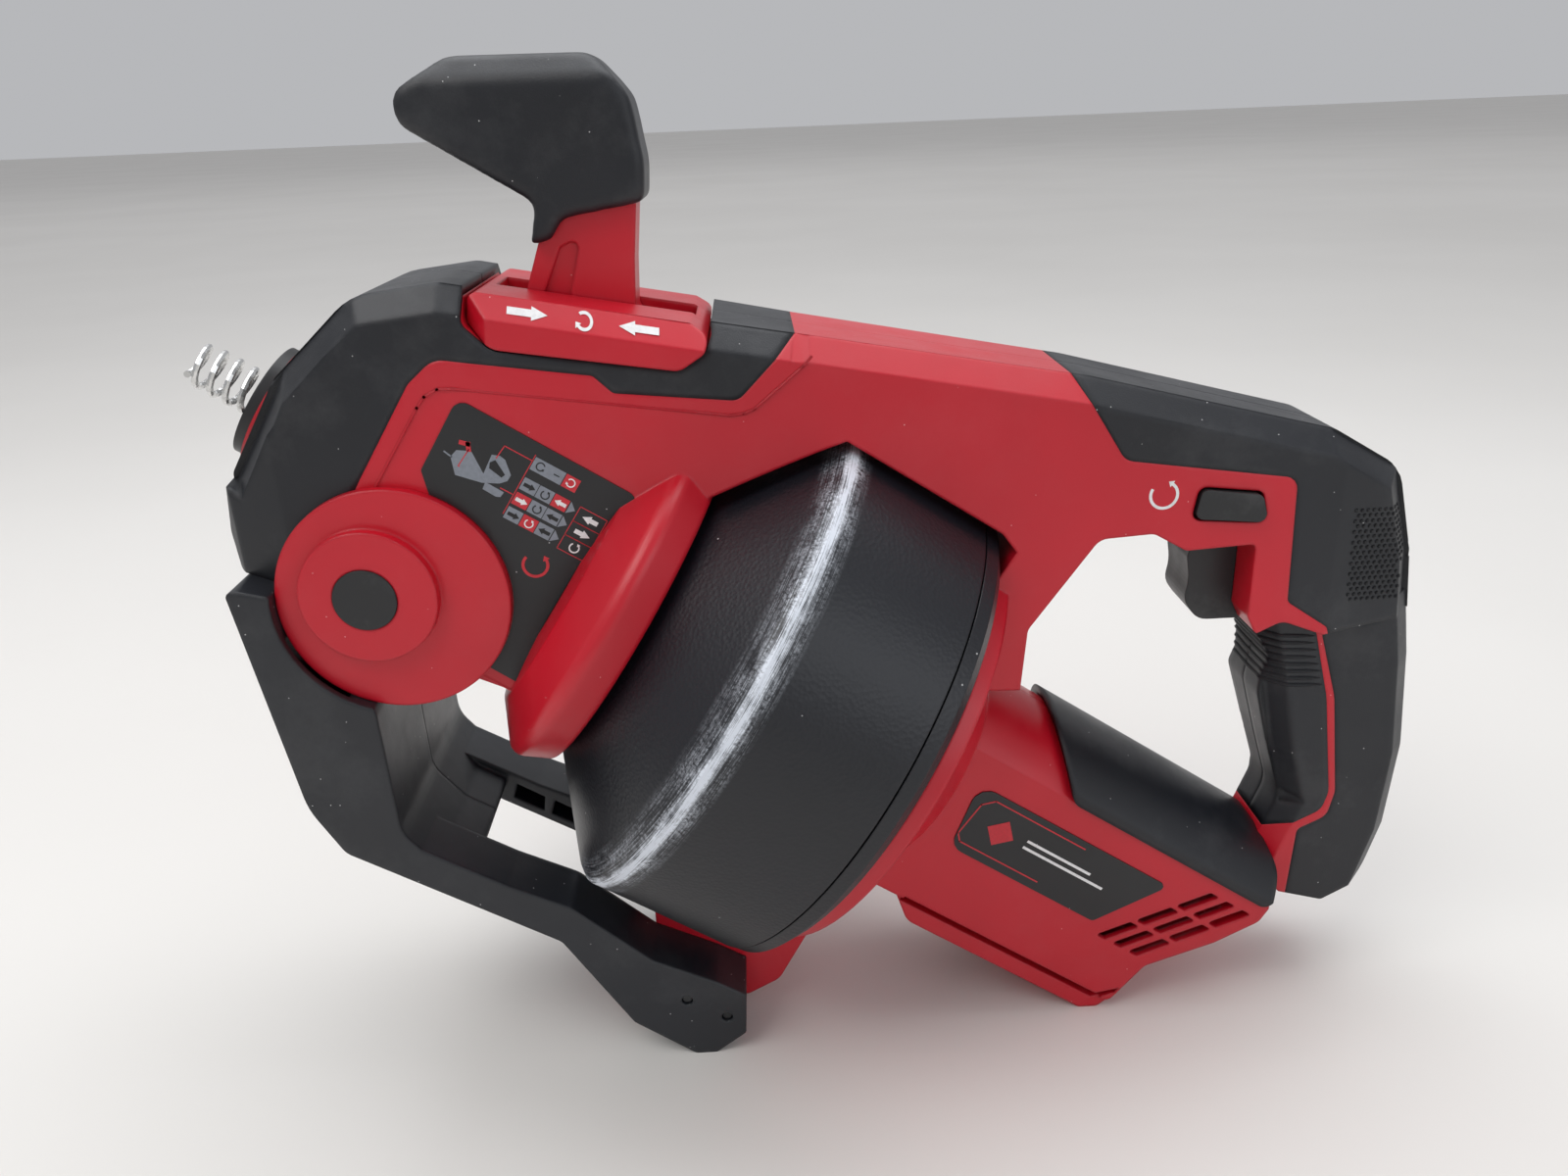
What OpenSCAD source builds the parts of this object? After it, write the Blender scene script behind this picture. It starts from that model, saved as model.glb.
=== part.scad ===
// Drum auger: a hand-held powered drain snake with a feed lever, a closed cable drum
// on a slanted axis, a carrying stand and a battery foot.
// X runs from the nose (-X) to the rear handle (+X), Y across, Z up from the ground.

/* [Drum] */
// Radius of the drum over its ridge
drum_r = 99; // [92:0.5:101]
// Length of the drum behind its ridge, along the axis
drum_back = 66; // [60:1:66]
// Wall of the two drum shells
drum_wall = 3; // [2:0.5:4]
// Downward slant of the drum and motor axis, in degrees
axis_tilt = 34; // [33:0.5:35]
// Height of the drum's ridge centre above the ground
drum_z = 157; // [156:0.5:160]

/* [Snake] */
// Diameter of the snake cable
cable_d = 6; // [5:0.5:7]
// Outer diameter of the spring tip
tip_d = 17; // [14:0.5:20]
// Wire diameter of the spring tip
tip_wire = 2.4; // [2:0.2:3]
// Turns of the spring tip
tip_turns = 8; // [5:1:9]

/* [Casing] */
// Half of the head's width
head_half = 38; // [37:0.5:39]
// Half of the motor casing's width
motor_half = 35; // [34:0.5:37]
// Half of the grip's width
grip_half = 20; // [18:0.5:21]
// Radius of the motor casing's arched top, pad included
motor_top = 47.5; // [46:0.5:48]
// Wall of the casing halves
wall = 3; // [2.5:0.5:3.5]
// Thickness of the soft covering
skin = 2; // [1.5:0.5:2.5]
// Width of the bevel along the top edges
bevel = 8; // [6:1:9]
// Width of the bevels along the grip
grip_bevel = 7; // [5:1:8]
// Half of the lever gate's width
gate_half = 37.5; // [36.5:0.5:38]

/* [Stand] */
// Half of the stand's width
stand_half = 47; // [45:0.5:48]
// Half of the gap between the two rails
rail_gap = 24; // [24:0.5:26]

/* [Controls] */
// Travel of the trigger
trigger_travel = 7; // [5:0.5:8]
// Half length of the direction bar, across the handle
selector_half = 29; // [28.5:0.5:30]

/* [Hidden] */
// The outlines below are measured from a point this far behind the middle of the footprint
centre_x = 5.6;
drum_x = -52 + centre_x;
fine = 96;
mid = 48;
low = 24;

// Gear train: teeth and module of the single planetary stage
gear_module = 0.8;
sun_teeth = 12;
planet_teeth = 18;
ring_teeth = sun_teeth + 2 * planet_teeth;
gear_width = 12;
gear_t = 92;
orbit_r = gear_module * (sun_teeth + planet_teeth) / 2;
planet_count = 3;

// Lever pivot, along and above the axis
pivot_t = -95;
pivot_u = 40;
roller_r = 9;
roller_gap = 3.2;
roller_spread = 26;
roller_u = cable_d / 2 + roller_gap + roller_r;
lower_roller_u = -(cable_d / 2 + 0.4 + roller_r);

red = "firebrick";
soft_black = "#23262b";
hard_black = "#2e3033";
steel = "silver";

// ---------------------------------------------------------------- helpers

function unit(v) = v / norm(v);
function flat(corner) = [corner[0], corner[1]];

// The rounded corner at q, between p and s, as points on its arc
function corner_arc(p, q, s, r, steps = 4) =
    r <= 0 ? [q] :
    let (to_p = unit(p - q),
         to_s = unit(s - q),
         half = acos(to_p * to_s) / 2,
         start = q + to_p * r / tan(half),
         stop = q + to_s * r / tan(half),
         centre = q + unit(to_p + to_s) * r / sin(half))
    [for (i = [0:steps]) centre + r * unit(start + (stop - start) * i / steps - centre)];

// A closed outline from corners [x, z, radius]
function outline(corners) =
    let (n = len(corners))
    [for (i = [0:n - 1]) each corner_arc(
        flat(corners[(i + n - 1) % n]), flat(corners[i]), flat(corners[(i + 1) % n]), corners[i][2])];

// A side-view outline given a thickness from y = a to y = b
module slab(corners, a, b) {
    translate([centre_x, b, 0]) rotate([90, 0, 0]) linear_extrude(b - a) polygon(outline(corners));
}

// A chamfer prism along the straight edge from a to b, both [x, y, z]
module edge_bevel(a, b, size) {
    run = b - a;
    side = size * sqrt(2);
    translate(a + [centre_x, 0, 0])
        rotate([0, -atan2(run[2], norm([run[0], run[1]])), atan2(run[1], run[0])])
        translate([-3, 0, 0]) rotate([45, 0, 0]) translate([0, -side / 2, -side / 2])
        cube([norm(run) + 6, side, side]);
}

// The slanted frame: local Z runs rearward along the axis, local -X points up from it
module on_axis() {
    translate([drum_x, 0, drum_z]) rotate([0, 90 + axis_tilt, 0]) children();
}

// A side-view outline [along, above, radius] in the slanted frame
module axis_slab(corners, a, b) {
    on_axis() translate([0, b, 0]) rotate([90, 0, 0])
        linear_extrude(b - a) polygon([for (p = outline(corners)) [-p[1], p[0]]]);
}

// A tube or disc on the slanted axis
module axis_ring(t, length, r_out, r_in = 0) {
    on_axis() translate([0, 0, t]) difference() {
        cylinder(h = length, r = r_out, $fn = fine);
        if (r_in > 0) translate([0, 0, -1]) cylinder(h = length + 2, r = r_in, $fn = fine);
    }
}

module right_of(side) { mirror([0, side, 0]) children(); }

// A cross bar along Y at side-view point [x, z]
module cross_bar(x, z, r, a, b) {
    translate([x + centre_x, b, z]) rotate([90, 0, 0]) cylinder(h = b - a, r = r, $fn = mid);
}

// A cross bar at [along, above] in the slanted frame
module axis_bar(t, u, r, a, b) {
    on_axis() translate([-u, b, t]) rotate([90, 0, 0]) cylinder(h = b - a, r = r, $fn = mid);
}

// ---------------------------------------------------------------- outlines

// Head, bridge and upper handle seen from the side
upper_outline = [
    [-209, 205, 2], [-211, 218, 8], [-207, 238, 6], [-185, 270, 8], [-156, 295, 22], [-128, 298, 12],
    [-14, 275.5, 0], [82, 257, 0], [170, 234, 14], [197, 218, 16], [206, 186, 10], [209, 163, 0],
    [153, 157, 0], [146, 162, 3], [143, 168, 2], [143, 196, 2], [118, 195, 4], [106, 202, 5],
    [87, 201, 6], [63, 168, 5], [61, 144, 0], [20, 146, 0], [-40, 190, 0], [-84, 182, 0],
    [-117, 157, 2], [-140, 168, 0], [-160, 160, 8], [-188, 176, 8], [-193, 201, 4]
];
// Half width of head, bridge and handle along X
plan_outline = [
    [-214, 22], [-207, 30], [-188, 36], [-165, 38], [-120, 38], [-60, 34], [-10, 30],
    [110, 28], [172, 26], [196, 22], [210, 20], [216, 18]
];
// Bevelled edge of the upper body, as [x, half width, z]
upper_edge = [
    [-207, 30, 238], [-185, 36.2, 270], [-156, 38, 295], [-128, 38, 298], [-60, 34, 284.6], [-14, 30.3, 275.5],
    [82, 28.4, 257], [170, 26.1, 234], [197, 21.9, 218], [206, 20.6, 186], [209, 20.1, 160]
];
grip_outline = [
    [150, 170, 0], [207.5, 170, 0], [212, 144, 30], [216, 104, 30], [214, 68, 20], [209, 48, 8],
    [190, 37, 2], [172, 42, 0], [160, 56, 0], [170, 84, 14], [163, 106, 20], [156, 130, 10],
    [158, 146, 6], [152, 158, 3]
];
grip_back = [[205, 184], [212, 144], [216, 104], [214, 68], [208, 44]];
grip_front = [[152, 158], [157, 138], [164, 104], [170, 84], [160, 56]];
// Motor casing in the slanted frame
motor_outline = [
    [76, 44, 0], [228, 44, 8], [239, 34, 8], [240, 20, 6], [231, 3, 10], [214, -20, 6], [212, -42, 3],
    [84, -42, 3], [76, -50, 3]
];
arm_outline = [
    [-80, 66, 0], [-80, 30, 2], [-56, 9, 4], [-45, 8, 3], [-32, 15, 8], [-16, 44, 12], [0, 74, 0],
    [30, 110, 0], [10, 140, 0], [-20, 110, 0]
];
front_region = [
    [-225, 202, 0], [-193, 202, 0], [-190, 213, 14], [-179, 222, 10], [-167, 227, 10], [-160, 238, 0],
    [-140, 268, 8], [-131, 275.5, 8], [-82, 267.5, 3], [-76, 261.5, 3], [-36, 256.5, 5], [-16, 276.5, 0],
    [-16, 320, 0], [-225, 320, 0]
];
rear_region = [
    [68, 278, 0], [74, 261, 0], [94, 229, 6], [155, 219.5, 5], [157, 173, 3], [173, 162, 3], [183, 130, 30],
    [189, 88, 12], [187, 77, 6], [176, 71.5, 3], [174, 20, 0], [240, 20, 0], [240, 278, 0]
];
grip_region = [
    [140, 158, 3], [156, 165.5, 6], [172, 159, 3], [180, 130, 30], [186.5, 88, 12], [184.5, 80, 6],
    [156, 65, 3], [140, 65, 0]
];

module plan_half(inset) {
    mirror([0, 1, 0]) translate([centre_x, 0, -10]) linear_extrude(400)
        polygon(concat([[-214, -1]], [for (p = plan_outline) [p[0], p[1] + inset]], [[216, -1]]));
}

module grown_drum(gap) {
    on_axis() rotate_extrude($fn = fine) polygon([
        [0, -44 - gap], [50 + gap, -44 - gap], [54 + gap, -38 - gap], [drum_r + gap, -3 - gap / 3],
        [drum_r + gap, 60], [drum_r - 3 + gap, drum_back + gap * 0.7], [0, drum_back + gap * 0.7]
    ]);
}

// ---------------------------------------------------------------- casing

module upper_half() {
    difference() {
        intersection() {
            slab(upper_outline, -60, 1);
            plan_half(0);
        }
        for (i = [0:len(upper_edge) - 2]) edge_bevel(across(upper_edge[i]), across(upper_edge[i + 1]), bevel);
    }
}

function across(point) = [point[0], -point[1], point[2]];

// The pistol part of the handle with its long edges bevelled
module lower_grip_half() {
    difference() {
        slab(grip_outline, -grip_half, 1);
        for (edge = [grip_back, grip_front])
            for (i = [0:len(edge) - 2]) edge_bevel(on_side(edge[i]), on_side(edge[i + 1]), grip_bevel);
    }
}

function on_side(point) = [point[0], -grip_half, point[1]];

module collar_half() {
    intersection() {
        on_axis() rotate_extrude($fn = fine) polygon(outline([
            [40, -60, 0], [54, -58, 3], [71, -46, 5], [66, -32.5, 2], [61.5, -32.5, 1], [59, -50, 0], [56, -54, 0],
            [40, -54, 0]
        ]));
        translate([-300, -200, 0]) cube([400, 201, 400]);
    }
}

// The motor casing is arched above the axis and flat-sided below it
module arched(top_r) {
    intersection() {
        children();
        union() {
            axis_ring(50, 220, top_r);
            axis_slab([[50, 22, 0], [270, 22, 0], [270, -70, 0], [50, -70, 0]], -60, 60);
        }
    }
}

module motor_half_body() {
    arched(motor_top - 3.5) axis_slab(motor_outline, -motor_half, 1);
    intersection() {
        axis_ring(69, 6, 86);
        translate([-300, -200, 0]) cube([500, 201, 400]);
    }
    intersection() {
        on_axis() translate([0, 0, 74]) cylinder(h = 24, r1 = 72, r2 = 44, $fn = fine);
        translate([-300, -200, 0]) cube([500, 201, 400]);
    }
    battery_foot();
}

module battery_foot() {
    axis_slab([[106, -40, 0], [213, -40, 0], [211, -47, 3], [205, -51.1, 2], [120, -51.1, 8]], -33, 1);
}

module left_side() {
    intersection() {
        children();
        translate([-400, -200, -20]) cube([800, 200, 420]);
    }
}

// What is left of a body when its faces towards (along, across, up) are taken in
module taken_in(along, across, up) {
    intersection() {
        children();
        translate([along, 0, 0]) children();
        translate([0, across, 0]) children();
        translate([0, 0, up]) children();
    }
}

module handle_half() {
    upper_half();
    lower_grip_half();
}

// The room that each soft covering takes from the casing
module front_room() {
    difference() {
        slab(front_region, -60, 1);
        taken_in(skin * 1.5, skin, -skin * 1.5) upper_half();
    }
}

module rear_room() {
    difference() {
        slab(rear_region, -60, 1);
        intersection() {
            handle_half();
            translate([-skin * 1.7, skin, -skin * 0.6]) handle_half();
        }
    }
}

module grip_room() {
    difference() {
        slab(grip_region, -60, 1);
        taken_in(skin * 1.5, skin, 0) lower_grip_half();
    }
}

module soft_front() {
    left_side() difference() {
        intersection() {
            upper_half();
            front_room();
        }
        nose_cut();
        gate_cut();
    }
}

module soft_rear() {
    left_side() intersection() {
        handle_half();
        rear_room();
    }
}

module soft_grip() {
    left_side() difference() {
        intersection() {
            lower_grip_half();
            grip_room();
        }
        trigger_slot();
    }
}

module nose_cut() {
    axis_ring(-186, 14.5, 23);
    axis_ring(-186, 40, 11.5);
}

module gate_cut() {
    slab([[-119.8, 330, 0], [-121, 285.5, 4], [-112.7, 277, 8], [-53.8, 267.5, 6], [-45.6, 272.6, 4], [-43.6, 277.5, 0],
          [-43.6, 330, 0]], -60, 1);
}

// Everything taken out of the casing halves
module casing_cavities() {
    intersection() {
        union() {
            slab([[-196, 206, 0], [-198, 222, 6], [-178, 262, 8], [-152, 285, 10], [-70, 268, 0], [-84, 190, 0],
                  [-118, 164, 0], [-140, 172, 0], [-160, 166, 6], [-183, 184, 6]], -60, 1);
            slab([[-60, 266, 0], [78, 246, 0], [162, 224, 6], [186, 208, 6], [194, 172, 0], [160, 160, 0],
                  [150, 205, 2], [92, 208, 4], [54, 214, 0], [4, 250, 0], [-60, 250, 0]], -60, 1);
        }
        plan_half(-2 * wall);
    }
    lever_well();
    slab([[158, 172, 0], [194, 172, 0], [201, 140, 0], [205, 104, 0], [203, 60, 6], [180, 50, 4],
          [179, 84, 0], [170, 120, 0]], -grip_half + 2 * wall, 1);
    motor_cavity();
    selector_slot(0.4);
    trigger_slot();
    vents();
}

module lever_well() {
    slab([[-116, 300, 0], [-116, 262, 0], [-122, 232, 0], [-60, 240, 0], [-50, 262, 0], [-46, 300, 0]], -14, 1);
}

// The motor space: the gearbox and the motor can sit in ring-shaped bulkheads
module motor_cavity() {
    difference() {
        arched(motor_top - 3.5 - wall) axis_slab([
            [104, 42, 0], [212, 42, 0], [226, 30, 0], [224, 4, 0], [208, -20, 0], [204, -37, 0], [104, -37, 0]
        ], wall - motor_half, 1);
        for (t = [116, 172]) axis_slab([[t, 60, 0], [t + 5, 60, 0], [t + 5, -60, 0], [t, -60, 0]], -60, 2);
    }
    axis_ring(78, 26, 25);
    axis_ring(100, 112, 24);
    axis_ring(60, 30, 18);
}

module selector_slot(gap) {
    slab([[119 - gap, 206.5 - gap, 3], [121 - gap, 218 + gap, 3], [143 + gap, 215 + gap, 3],
          [146 + gap, 204 - gap, 3]], -40, 1);
}

module trigger_slot() {
    slab([[136, 191.6, 0], [166, 191.6, 0], [166, 160.4, 0], [136, 160.4, 0]], -11.4, 1);
}

// Air outlets at the rear of the motor casing: three leaning rows, split by ribs along the axis
module vents() {
    for (row = [0:2])
        for (cell = [0:2]) {
            low = -18 + 13.5 * cell;
            high = low + 12;
            start = 200 + 8 * row;
            axis_slab([
                [start + 0.7 * low, low, 1], [start + 5 + 0.7 * low, low, 1],
                [start + 5 + 0.7 * high, high, 1], [start + 0.7 * high, high, 1]
            ], -motor_half - 1, -motor_half + 14);
        }
}

// Casing screws, as [x, z, length of the boss they run in]
housing_screw_spots = [
    [-172, 258.5, 33], [-66, 226, 32], [14, 255, 26], [90, 232, 26], [48, 172, 20], [176, 212, 22], [194, 58, 15]
];

module housing_half() {
    left_side() difference() {
        union() {
            difference() {
                union() {
                    upper_half();
                    lower_grip_half();
                    motor_half_body();
                    slab(arm_outline, -rail_gap, 1);
                }
                grown_drum(3.5);
                casing_cavities();
            }
            collar_half();
            for (spot = housing_screw_spots) cross_bar(spot[0], spot[1], 4.5, -spot[2], 1);
        }
        front_room();
        rear_room();
        grip_room();
        nose_cut();
        gate_cut();
        axis_ring(-62, 16, 30);
        for (spot = housing_screw_spots) cross_bar(spot[0], spot[1], 1.8, -12, 1);
        foot_screw_holes(1.8);
        stand_screw_hole();
        rail_grooves();
        terminal_recess();
        lower_pockets();
    }
}

module rail_grooves() {
    axis_slab([[112, -41, 0], [205, -41, 0], [212, -34, 0], [212, -37, 0], [206, -44.5, 0], [112, -44.5, 0]], -36, -28);
}

module terminal_recess() {
    axis_slab([[128, -53, 0], [128, -38, 0], [176, -38, 0], [176, -53, 0]], -18, 1);
}

module lower_pockets() {
    axis_bar(pivot_t, pivot_u, 3.05, -40, 1);
}

module foot_screw_holes(r) {
    for (spot = [[-68, 26], [-53, 17]]) cross_bar(spot[0], spot[1], r, -60, 1);
}

module stand_screw_hole() { cross_bar(-163, 198.5, 2.2, -60, 1); }

module housing_left() { color(red) housing_half(); }
module housing_right() { color(red) right_of(1) housing_half(); }
module front_overmould_left() { color(soft_black) soft_front(); }
module front_overmould_right() { color(soft_black) right_of(1) soft_front(); }
module rear_overmould_left() { color(soft_black) soft_rear(); }
module rear_overmould_right() { color(soft_black) right_of(1) soft_rear(); }
module grip_left() { color(soft_black) soft_grip(); }
module grip_right() { color(soft_black) right_of(1) soft_grip(); }

module motor_pad() {
    color(soft_black) difference() {
        arched(motor_top) axis_slab([[122, 50, 3], [228, 48, 10], [238, 40, 6], [238, 26.5, 4], [143, 26.5, 6]],
                                    -motor_half - 1.5, motor_half + 1.5);
        arched(motor_top - 3.5) axis_slab([[60, 60, 0], [228, 60, 0], [239, 34, 8], [245, 0, 0], [60, 0, 0]],
                                          -motor_half, motor_half);
        for (side = [0, 1]) right_of(side) handle_half();
    }
}

// ---------------------------------------------------------------- nose and side fittings

module nose_lip() { color(hard_black) axis_ring(-179.5, 4, 20.5, 11.5); }
module nose_ring() { color(red) axis_ring(-175.5, 4, 22.9, 11.5); }
module guide_tube() { color(steel) axis_ring(-171.5, 22, 11.4, 9.6); }

module side_cover() {
    difference() {
        union() {
            cross_bar(-155, 196, 39, -42, -head_half);
            cross_bar(-162, 199, 23, -46, -42);
        }
        cross_bar(-163, 198.5, 10.7, -47, -40);
        stand_screw_hole();
    }
}
module side_cover_left() { color(red) side_cover(); }
module side_cover_right() { color(red) right_of(1) side_cover(); }

module plug() { cross_bar(-163, 198.5, 10.6, -46.4, -43.2); }
module plug_left() { color(hard_black) plug(); }
module plug_right() { color(hard_black) right_of(1) plug(); }

module function_label() {
    color("#17191c") difference() {
        intersection() {
            slab([[-140, 240, 2], [-125, 263, 4], [-72, 227, 4], [-72, 222, 2], [-117, 161, 1], [-128, 169, 1]],
                 -60, 0);
            difference() {
                translate([0, -0.5, 0]) plan_half(0);
                plan_half(0);
            }
        }
        cross_bar(-155, 196, 39.3, -60, 1);
        on_axis() rotate_extrude($fn = fine) polygon([[0, -60], [40, -60], [54, -58], [71, -46], [71, 0], [0, 0]]);
    }
}

module name_plate() {
    axis_slab([[108, 15, 6], [198, 15, 2], [182, -13, 2], [114, -13, 6]], -motor_half - 0.5, -motor_half);
}
module name_plate_left() { color("#2b2d30") name_plate(); }
module name_plate_right() { color("#2b2d30") right_of(1) name_plate(); }

// ---------------------------------------------------------------- feed lever

module lever_gate() {
    color(red) difference() {
        slab([[-120.5, 285.5, 3], [-119, 295, 3], [-50, 282, 3], [-44, 277.5, 4], [-46, 273, 4], [-54, 268, 6],
              [-112.5, 277.5, 8]], -gate_half, gate_half);
        for (y = [-gate_half, gate_half]) {
            edge_bevel([-123, y, 295.9], [-42, y, 280.3], 7);
            edge_bevel([-122, y, 270], [-119, y, 300], 7);
        }
        slab([[-114, 310, 0], [-114, 260, 0], [-49, 250, 0], [-49, 300, 0]], -9.5, 9.5);
    }
}

lever_core = [
    [-128, 341, 5], [-124, 354, 6], [-76, 356, 8], [-70, 340, 8], [-66, 318, 0], [-68, 300, 0], [-69, 283, 4],
    [-60, 276, 2], [-66, 262, 0], [-98, 233, 8], [-116, 236, 8], [-108, 262, 0], [-107, 285, 4], [-98, 309, 4],
    [-95, 323, 4]
];
lever_half = 8.4;

module feed_lever() {
    color(red) difference() {
        slab(lever_core, -lever_half, lever_half);
        axis_bar(pivot_t, pivot_u, 3.05, -40, 40);
        for (y = [-10, 7])
            slab([[-92, 305, 2], [-99, 290, 2], [-96, 262, 0], [-90, 262, 0], [-90, 290, 2], [-85, 308, 2]], y, y + 3);
    }
}

module lever_grip() {
    color(soft_black) difference() {
        slab([[-139, 353, 6], [-122, 363.5, 10], [-76, 363, 9], [-65, 350, 12], [-62, 330, 12], [-63, 318, 2],
              [-90, 314, 3], [-94, 307.5, 1], [-101, 306, 1], [-98, 319, 4], [-138, 344, 6]],
             -14, 14);
        slab(lever_core, -lever_half, lever_half);
        for (y = [-14, 14]) edge_bevel([-140, y, 363], [-60, y, 362.6], 7);
    }
}

module lever_pin() { color(steel) axis_bar(pivot_t, pivot_u, 3, -31.5, 31.5); }

// Rocker arms under the lever that carry the two feed rollers
module feed_rocker() {
    color("dimgray") difference() {
        for (side = [0, 1]) right_of(side) axis_slab([
            [pivot_t - 9, pivot_u + 8, 4], [pivot_t + 9, pivot_u + 8, 4],
            [pivot_t + roller_spread + 6, roller_u + 3, 4], [pivot_t + roller_spread + 2, roller_u - 6, 4],
            [pivot_t - roller_spread - 2, roller_u - 6, 4], [pivot_t - roller_spread - 6, roller_u + 3, 4]
        ], -13, -10);
        axis_bar(pivot_t, pivot_u, 3.05, -40, 40);
        for (s = [-1, 1]) axis_bar(pivot_t + s * roller_spread, roller_u, 2.05, -40, 40);
    }
}

module feed_roller(t, u) {
    difference() {
        axis_bar(t, u, roller_r, -7, 7);
        axis_bar(t, u, 2.05, -8, 8);
    }
}
module upper_roller_front() { color(steel) feed_roller(pivot_t - roller_spread, roller_u); }
module upper_roller_rear() { color(steel) feed_roller(pivot_t + roller_spread, roller_u); }
module upper_axles() {
    color(steel) for (s = [-1, 1]) axis_bar(pivot_t + s * roller_spread, roller_u, 2, -13.5, 13.5);
}
module lower_roller_front() { color(steel) feed_roller(pivot_t - roller_spread, lower_roller_u); }
module lower_roller_rear() { color(steel) feed_roller(pivot_t + roller_spread, lower_roller_u); }
module lower_axles() {
    color(steel) for (s = [-1, 1]) {
        axis_bar(pivot_t + s * roller_spread, lower_roller_u, 2, -14, 14);
        for (side = [0, 1]) right_of(side) axis_slab([
            [pivot_t + s * roller_spread - 5, lower_roller_u + 4, 2],
            [pivot_t + s * roller_spread + 5, lower_roller_u + 4, 2],
            [pivot_t + s * roller_spread + 5, lower_roller_u - 19.6, 0],
            [pivot_t + s * roller_spread - 5, lower_roller_u - 19.6, 0]
        ], -17, -14);
    }
}

// ---------------------------------------------------------------- drum and snake

module drum_front() {
    color(hard_black) on_axis() rotate_extrude($fn = fine) polygon([
        [16, -44], [46, -44], [51, -38], [96.5, -3], [drum_r, 0], [drum_r - 0.6, 56], [drum_r - 0.6 - drum_wall, 56],
        [drum_r - drum_wall, 2], [94, -0.5], [48.5, -34.5], [44, -40.5], [16, -40.5]
    ]);
}

module drum_rear() {
    color(hard_black) on_axis() difference() {
        rotate_extrude($fn = fine) polygon([
            [12.05, drum_back - 4], [drum_r - 9, drum_back - 4], [drum_r - 4.5, drum_back - 10], [drum_r - 4.5, 54],
            [drum_r - 3.8, 54], [drum_r - 3.8, 56.8], [drum_r - 1, 56.8], [drum_r - 1.4, 62], [drum_r - 6, drum_back],
            [12.05, drum_back]
        ]);
        drum_screw_holes();
    }
}

module drum_screw_holes() {
    for (i = [0:3]) rotate([0, 0, 45 + 90 * i]) translate([22, 0, 40]) cylinder(h = 40, r = 1.85, $fn = low);
}

module drum_screws() {
    color(steel) on_axis() for (i = [0:3]) rotate([0, 0, 45 + 90 * i]) translate([22, 0, drum_back - 8]) {
        cylinder(h = 9, r = 1.8, $fn = low);
        translate([0, 0, 8]) cylinder(h = 1.6, r = 3.4, $fn = low);
    }
}

// The hub that the rear shell is screwed to, with the shaft that the planets turn
module drum_spindle() {
    color(steel) on_axis() difference() {
        union() {
            translate([0, 0, drum_back - 7]) cylinder(h = 3, r = 27, $fn = mid);
            translate([0, 0, drum_back - 4]) cylinder(h = gear_t - 2 - drum_back, r = 12, $fn = mid);
            translate([0, 0, gear_t - 6]) cylinder(h = 4, r = 16.5, $fn = mid);
            for (i = [0:planet_count - 1]) rotate([0, 0, 120 * i]) translate([orbit_r, 0, gear_t - 4])
                cylinder(h = gear_width + 4, r = 2, $fn = low);
        }
        drum_screw_holes();
    }
}

module spindle_bearing() {
    color(steel) axis_ring(drum_back + 4, 8, 17.9, 12.05);
}

// The wound snake against the drum wall
module snake_coil() {
    color("dimgray") on_axis() rotate_extrude($fn = fine) union() {
        for (turn = [0:6]) translate([drum_r - drum_wall - 5, 8 + turn * cable_d * 0.98]) circle(d = cable_d, $fn = low);
        for (turn = [0:5]) translate([drum_r - drum_wall - 10, 11 + turn * cable_d * 0.98])
            circle(d = cable_d, $fn = low);
    }
}

module snake_cable() {
    color("dimgray") axis_ring(-155, 135, cable_d / 2);
}

tip_r = (tip_d - tip_wire) / 2;
tip_length = 44;
tip_sides = 8;
tip_steps = 20;

// A point on the tip's wire surface: the helix narrows over its first turn
function tip_centre(a) =
    let (turn = a / 360, r = tip_r * min(1, 0.8 + 0.2 * turn)) [r * cos(a), r * sin(a), turn * tip_length / tip_turns];
function tip_ring(a) =
    let (c = tip_centre(a), out = [cos(a), sin(a), 0])
    [for (k = [0:tip_sides - 1]) let (b = 360 * k / tip_sides)
        c + tip_wire / 2 * (cos(b) * out + [0, 0, sin(b)])];

module spring_tip() {
    rings = tip_turns * tip_steps;
    points = [for (i = [0:rings]) each tip_ring(360 * i / tip_steps)];
    last = rings * tip_sides;
    sides = [for (i = [0:rings - 1], k = [0:tip_sides - 1])
        let (a = i * tip_sides + k, b = i * tip_sides + (k + 1) % tip_sides)
        [a, b, b + tip_sides, a + tip_sides]];
    color(steel) {
        on_axis() translate([0, 0, -207 + tip_wire / 2]) polyhedron(
            points, concat([[for (k = [tip_sides - 1:-1:0]) k]], sides,
                           [[for (k = [0:tip_sides - 1]) last + k]]));
        axis_ring(-167, 7, 8.6);
        axis_ring(-163, 8, 4.5);
    }
}

// ---------------------------------------------------------------- drive

// A gear blank with straight-flanked teeth that clear their mates
module toothed_disc(teeth, phase, internal = false) {
    pitch_r = gear_module * teeth / 2;
    tip = internal ? pitch_r - gear_module * 0.75 : pitch_r + gear_module * 0.75;
    root = internal ? pitch_r + gear_module * 1.1 : pitch_r - gear_module * 1.1;
    step = 360 / teeth;
    polygon([for (i = [0:teeth - 1]) each [
        root * [cos(phase + step * (i - 0.29)), sin(phase + step * (i - 0.29))],
        tip * [cos(phase + step * (i - 0.12)), sin(phase + step * (i - 0.12))],
        tip * [cos(phase + step * (i + 0.12)), sin(phase + step * (i + 0.12))],
        root * [cos(phase + step * (i + 0.29)), sin(phase + step * (i + 0.29))]
    ]]);
}

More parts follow.
